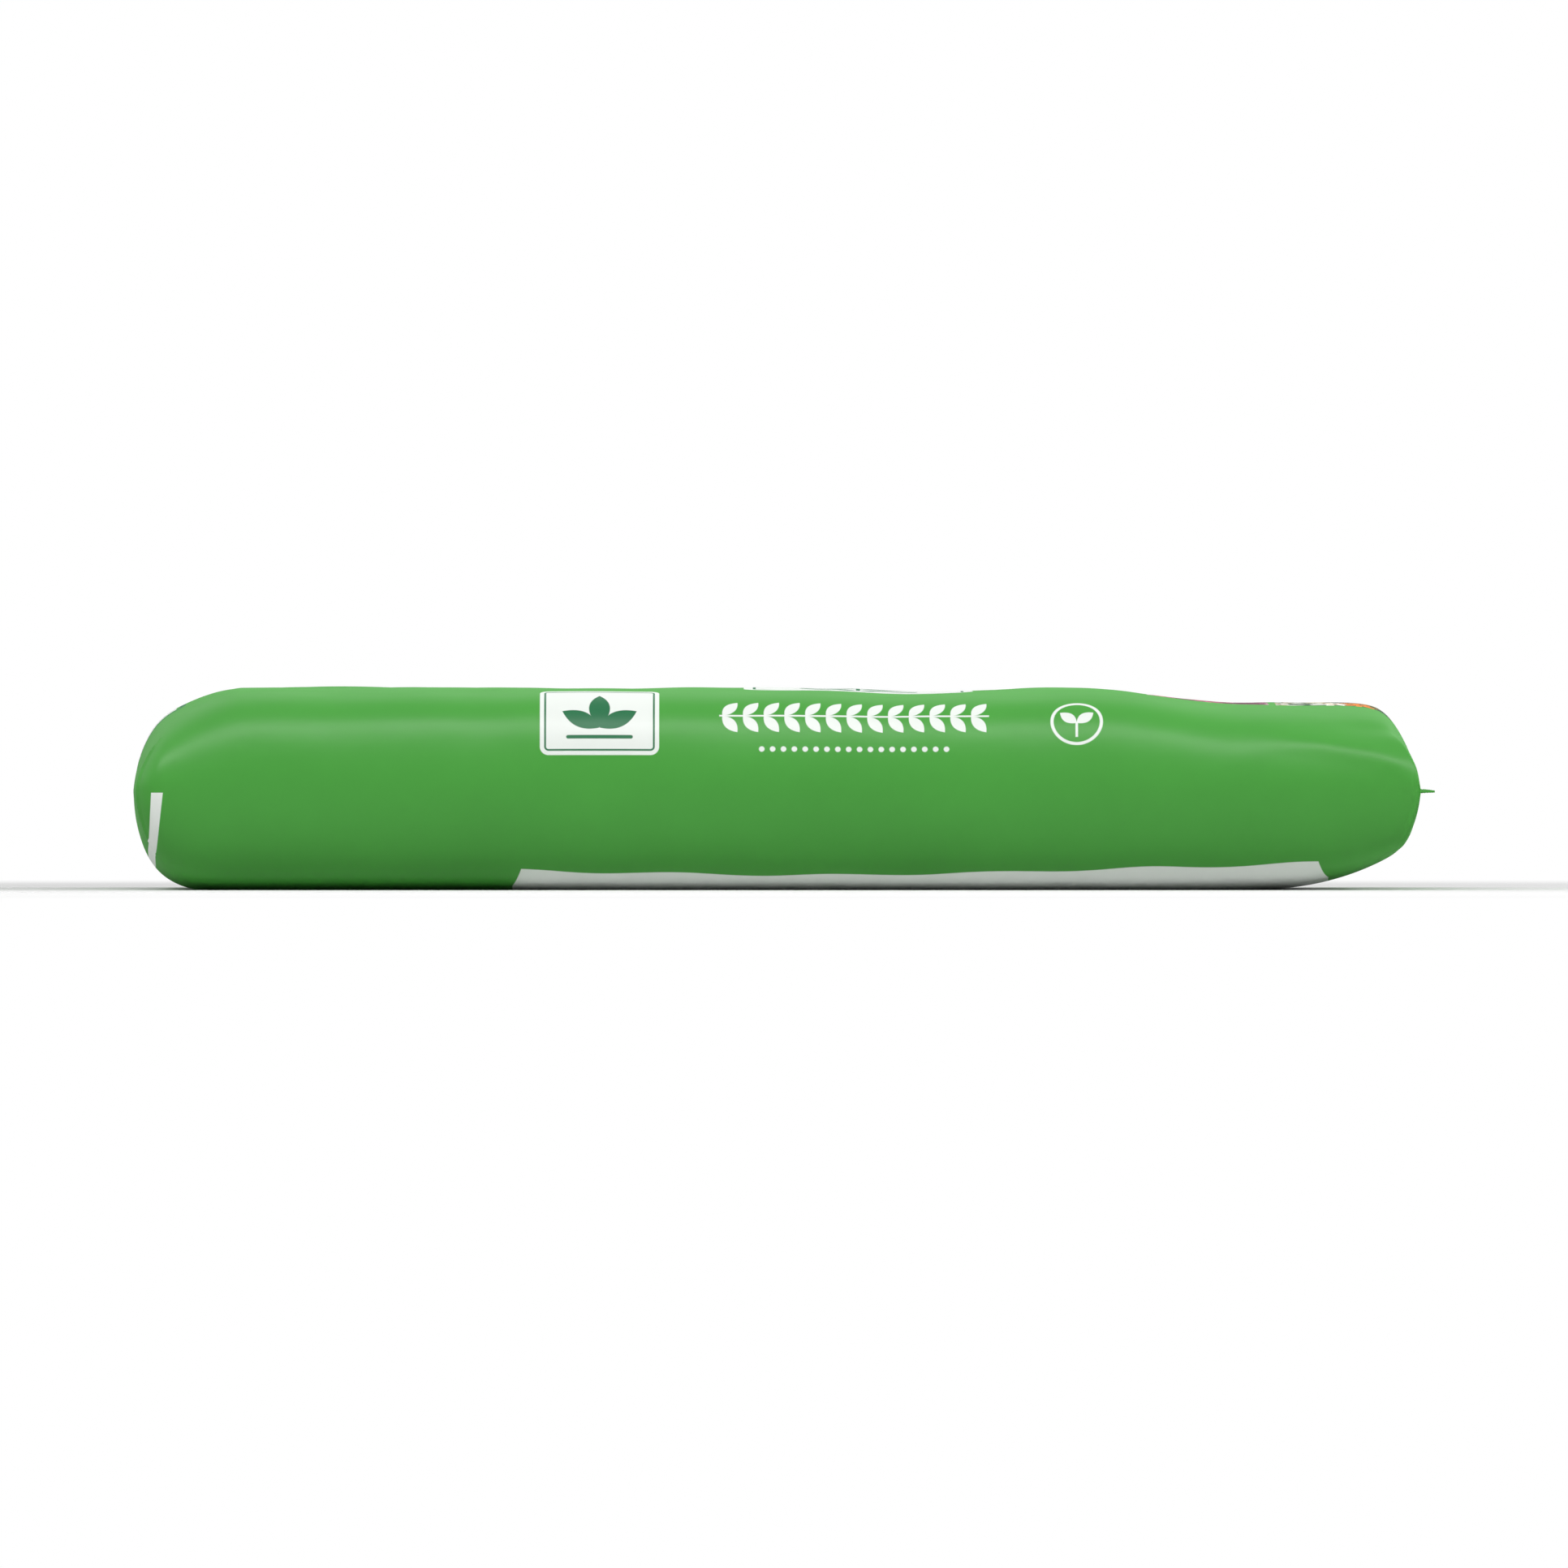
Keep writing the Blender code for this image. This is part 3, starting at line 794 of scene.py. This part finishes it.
leaf_step_y = maths(tree, "MULTIPLY_ADD", maths(tree, "SINE", turn), LEAF_LENGTH / 2, leaf_y)
leaves = use_group(tree, leaf_group, leaf_step_x, leaf_step_y, turn, LEAF_LENGTH, LEAF_WIDTH)
leaves = inside(leaves)

near_row = maths(tree, "GREATER_THAN", along, PICTURES_MIDDLE[0] - PICTURES_STEP / 2)
leaf_half = maths(tree, "GREATER_THAN", across, 0.0)
warm = ramp(flower_size, WARM_PETALS)
rose = ramp(flower_size, ROSE_PETALS)
flower_ground = blend(ROSE_GROUND, WARM_GROUND, near_row)
flowers = blend(flower_ground, blend(rose, warm, near_row), petals)
flowers = blend(flowers, EYE_COLOUR, both(eye, petals))
cool = ramp(leaf_shade, COOL_LEAVES)
reds = ramp(leaf_shade, RED_LEAVES)
leaf_ground = blend(RED_GROUND, COOL_GROUND, near_row)
foliage = blend(leaf_ground, blend(reds, cool, near_row), leaves)
picture = blend(flowers, foliage, leaf_half)
picture_y = maths(tree, "ABSOLUTE", across)
far_middle = (PICTURES_MIDDLE[0] - PICTURES_STEP, PICTURES_MIDDLE[1])
picture_place = either(
    block(along, picture_y, PICTURES_MIDDLE, PICTURES_HALF),
    block(along, picture_y, far_middle, PICTURES_HALF),
)

# The inks go down in order over the film's green, which varies a little with its thickness.
THICK_FILM_GREEN = tuple(0.90 * part for part in FILM_GREEN[:3]) + (1.0,)
cloud = tree.nodes.new("ShaderNodeTexNoise")
cloud.inputs["Scale"].default_value = 14.0
cloud.inputs["Detail"].default_value = 3.0
tree.links.new(place.outputs["Object"], cloud.inputs["Vector"])
cloudy = maths(tree, "MULTIPLY_ADD", cloud.outputs[0], 1.6, -0.3, clamp=True)
colour = blend(FILM_GREEN, THICK_FILM_GREEN, cloudy)
colour = blend(colour, WHITE, both(side_fields, on_upper))
colour = blend(colour, DARK_GREEN, both(inside(either(label_line, sprig)), on_upper))
colour = blend(colour, WHITE, both(inside(either(title, nose_panel)), on_upper))
colour = blend(colour, DARK_GREEN, both(inside(title_line), on_upper))
colour = blend(colour, DARK_GREEN, both(title_branch, on_upper))
colour = blend(colour, DARK_GREEN, both(inside(nose_line), on_upper))
colour = blend(colour, picture, both(inside(picture_place), on_upper))
colour = blend(colour, WHITE, maths(tree, "MAXIMUM", strip_mask, both(inside(back), on_lower)))
tree.links.new(colour, shader.inputs["Base Color"])

# Thin film shows faint creases and a slight orange peel, and its gloss varies with them. Scuffs
# dull it where it is seen at a glance.
SCUFFED_ROUGHNESS = 0.40
GLANCE_POWER = 2.5
WRINKLE_STRETCH = (22.0, 60.0, 60.0)
PEEL_SCALE = 420.0
PEEL_SHARE = 0.05
BUMP_DEPTH = 0.0004
stretch = tree.nodes.new("ShaderNodeMapping")
stretch.inputs["Scale"].default_value = WRINKLE_STRETCH
tree.links.new(place.outputs["Object"], stretch.inputs["Vector"])
wrinkle = tree.nodes.new("ShaderNodeTexNoise")
wrinkle.inputs["Scale"].default_value = 1.0
wrinkle.inputs["Detail"].default_value = 2.0
tree.links.new(stretch.outputs[0], wrinkle.inputs["Vector"])
peel = tree.nodes.new("ShaderNodeTexNoise")
peel.inputs["Scale"].default_value = PEEL_SCALE
tree.links.new(place.outputs["Object"], peel.inputs["Vector"])
height = maths(tree, "MULTIPLY_ADD", peel.outputs[0], PEEL_SHARE, wrinkle.outputs[0])
bump = tree.nodes.new("ShaderNodeBump")
bump.inputs["Strength"].default_value = 0.5
bump.inputs["Distance"].default_value = BUMP_DEPTH
tree.links.new(height, bump.inputs["Height"])
tree.links.new(bump.outputs[0], shader.inputs["Normal"])
gloss = maths(tree, "MULTIPLY_ADD", wrinkle.outputs[0], 0.10, FILM_ROUGHNESS - 0.05)
glance = tree.nodes.new("ShaderNodeLayerWeight")
scuffed = maths(tree, "POWER", glance.outputs["Facing"], GLANCE_POWER)
scuffed = maths(tree, "MULTIPLY", scuffed, SCUFFED_ROUGHNESS)
tree.links.new(maths(tree, "ADD", gloss, scuffed, clamp=True), shader.inputs["Roughness"])

# The floor is plain and pale, and far from the bag it runs out into the white of the background.
FLOOR_SIZE = 30.0
FLOOR_PALE = (0.72, 0.72, 0.72, 1.0)
FLOOR_GAP = 0.0002
FADE_START, FADE_END = 0.5, 1.6

floor_mesh = bpy.data.meshes.new("floor")
far = FLOOR_SIZE / 2
floor_corners = [(-far, -far), (far, -far), (far, far), (-far, far)]
floor_mesh.from_pydata([(*corner, -FLOOR_GAP) for corner in floor_corners], [], [(0, 1, 2, 3)])
floor = bpy.data.objects.new("floor", floor_mesh)
bpy.context.scene.collection.objects.link(floor)

floor_material = bpy.data.materials.new("pale_floor")
floor_material.use_nodes = True
floor_tree = floor_material.node_tree
floor_shader = floor_tree.nodes["Principled BSDF"]
floor_shader.inputs["Base Color"].default_value = FLOOR_PALE
floor_shader.inputs["Roughness"].default_value = 0.9
floor_place = floor_tree.nodes.new("ShaderNodeTexCoord")
floor_far = floor_tree.nodes.new("ShaderNodeVectorMath")
floor_far.operation = "LENGTH"
floor_tree.links.new(floor_place.outputs["Object"], floor_far.inputs[0])
fade = floor_tree.nodes.new("ShaderNodeMapRange")
fade.interpolation_type = "SMOOTHSTEP"
fade.inputs["From Min"].default_value = FADE_START
fade.inputs["From Max"].default_value = FADE_END
floor_tree.links.new(floor_far.outputs["Value"], fade.inputs["Value"])
floor_rays = floor_tree.nodes.new("ShaderNodeLightPath").outputs
seen = maths(floor_tree, "MAXIMUM", floor_rays["Is Camera Ray"], floor_rays["Is Glossy Ray"])
seen = maths(floor_tree, "MAXIMUM", seen, floor_rays["Is Transmission Ray"])
white_part = maths(floor_tree, "MULTIPLY", seen, fade.outputs[0])
floor_white = floor_tree.nodes.new("ShaderNodeEmission")
floor_mix = floor_tree.nodes.new("ShaderNodeMixShader")
floor_tree.links.new(white_part, floor_mix.inputs[0])
floor_tree.links.new(floor_shader.outputs[0], floor_mix.inputs[1])
floor_tree.links.new(floor_white.outputs[0], floor_mix.inputs[2])
floor_tree.links.new(floor_mix.outputs[0], floor_tree.nodes["Material Output"].inputs["Surface"])
floor_mesh.materials.append(floor_material)

# The light is a dim even room, a long narrow softbox over the near shoulder, which draws the
# highlight along it, a softbox beyond either end, and a wide one behind the bag.
ROOM_LEVEL = 0.20

world = bpy.data.worlds.new("studio")
bpy.context.scene.world = world
world.use_nodes = True
sky = world.node_tree
room = sky.nodes["Background"]
room.inputs["Strength"].default_value = ROOM_LEVEL
backdrop = sky.nodes.new("ShaderNodeBackground")
sky_rays = sky.nodes.new("ShaderNodeLightPath").outputs
seen = maths(sky, "MAXIMUM", sky_rays["Is Camera Ray"], sky_rays["Is Glossy Ray"])
seen = maths(sky, "MAXIMUM", seen, sky_rays["Is Transmission Ray"])
sky_mix = sky.nodes.new("ShaderNodeMixShader")
sky.links.new(seen, sky_mix.inputs[0])
sky.links.new(room.outputs[0], sky_mix.inputs[1])
sky.links.new(backdrop.outputs[0], sky_mix.inputs[2])
sky.links.new(sky_mix.outputs[0], sky.nodes["World Output"].inputs["Surface"])
room.inputs["Color"].default_value = (1.0, 1.0, 1.0, 1.0)
backdrop.inputs["Color"].default_value = (1.0, 1.0, 1.0, 1.0)


def softbox(name, size, place, look_at, watts):
    """A rectangular area light that faces a point."""
    light = bpy.data.lights.new(name, "AREA")
    light.shape = "RECTANGLE"
    light.size, light.size_y = size
    light.energy = watts
    lamp = bpy.data.objects.new(name, light)
    lamp.location = place
    to_point = [there - here for here, there in zip(place, look_at)]
    tilt = math.atan2(math.hypot(to_point[0], to_point[1]), -to_point[2])
    lamp.rotation_euler = (tilt, 0.0, math.atan2(-to_point[0], to_point[1]))
    bpy.context.scene.collection.objects.link(lamp)


softbox("strip_softbox", (2.2, 0.32), (0.0, -1.08, 1.24), (0.0, -0.20, 0.09), 20.5)
softbox("left_softbox", (3.2, 2.8), (-2.5, 0.1, 1.9), (-0.3, 0.0, 0.06), 25.0)
softbox("right_softbox", (2.4, 2.0), (2.9, 0.6, 1.5), (0.37, 0.0, 0.06), 62.0)
softbox("back_softbox", (6.0, 4.5), (0.0, 3.2, 2.6), (0.0, 0.2, 0.06), 25.0)

bpy.context.scene.view_settings.view_transform = "Standard"
